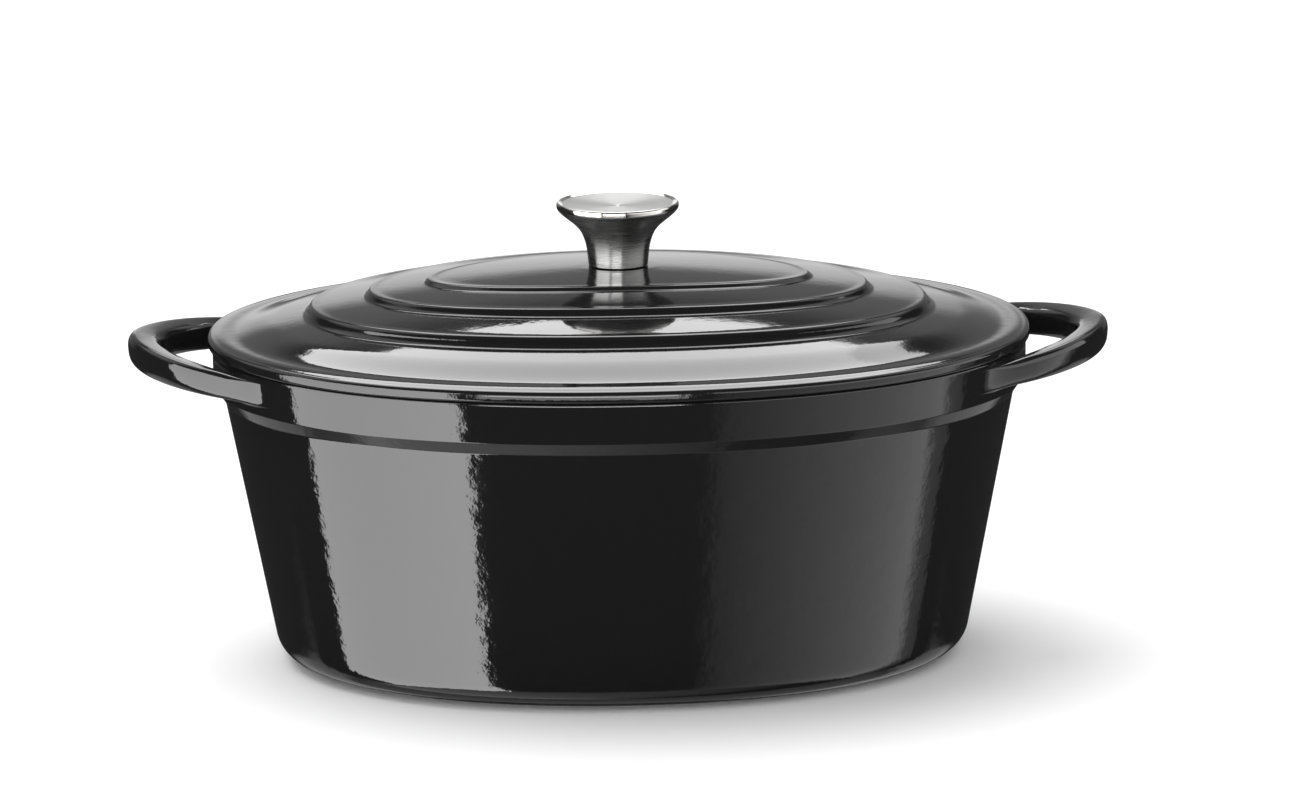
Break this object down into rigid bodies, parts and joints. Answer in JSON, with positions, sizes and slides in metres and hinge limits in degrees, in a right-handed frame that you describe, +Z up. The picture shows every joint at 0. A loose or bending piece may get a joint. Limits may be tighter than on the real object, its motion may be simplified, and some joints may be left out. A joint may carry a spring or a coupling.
{
  "type": "oval dutch oven",
  "caption": "Oval enamelled cast iron dutch oven with cast loop handles and a stepped domed lid that lifts off by a flared steel knob.",
  "frame": {"origin": "centre of the base, on the surface the pot stands on", "axes": "+X along the oval's long axis from handle to handle, +Y across it, +Z up through the knob"},
  "size_m": [0.394, 0.25, 0.1847],
  "materials": {
    "pot_enamel": "gloss black vitreous enamel over cast iron, slightly wavy",
    "lid_enamel": "gloss black vitreous enamel over cast iron, slightly wavy",
    "knob_steel": "stainless steel, brushed around the axis, polished lip",
    "cap_steel": "stainless steel, spun finish",
    "fastener_steel": "stainless steel, plain",
    "seat_rubber": "matt black silicone"
  },
  "bodies": {
    "pot": {"pot_body": "pot_enamel"},
    "lid": {"lid": "lid_enamel", "knob_stem": "knob_steel", "knob_cap": "cap_steel", "knob_insert": "fastener_steel", "knob_gasket": "seat_rubber", "knob_screw": "fastener_steel", "spring_washer": "fastener_steel", "flat_washer": "fastener_steel"}
  },
  "joints": [
    {"name": "lid_lift", "type": "slide", "parent": "pot", "child": "lid", "axis": [0, 0, 1], "range_m": [0, 0.2]}
  ]
}
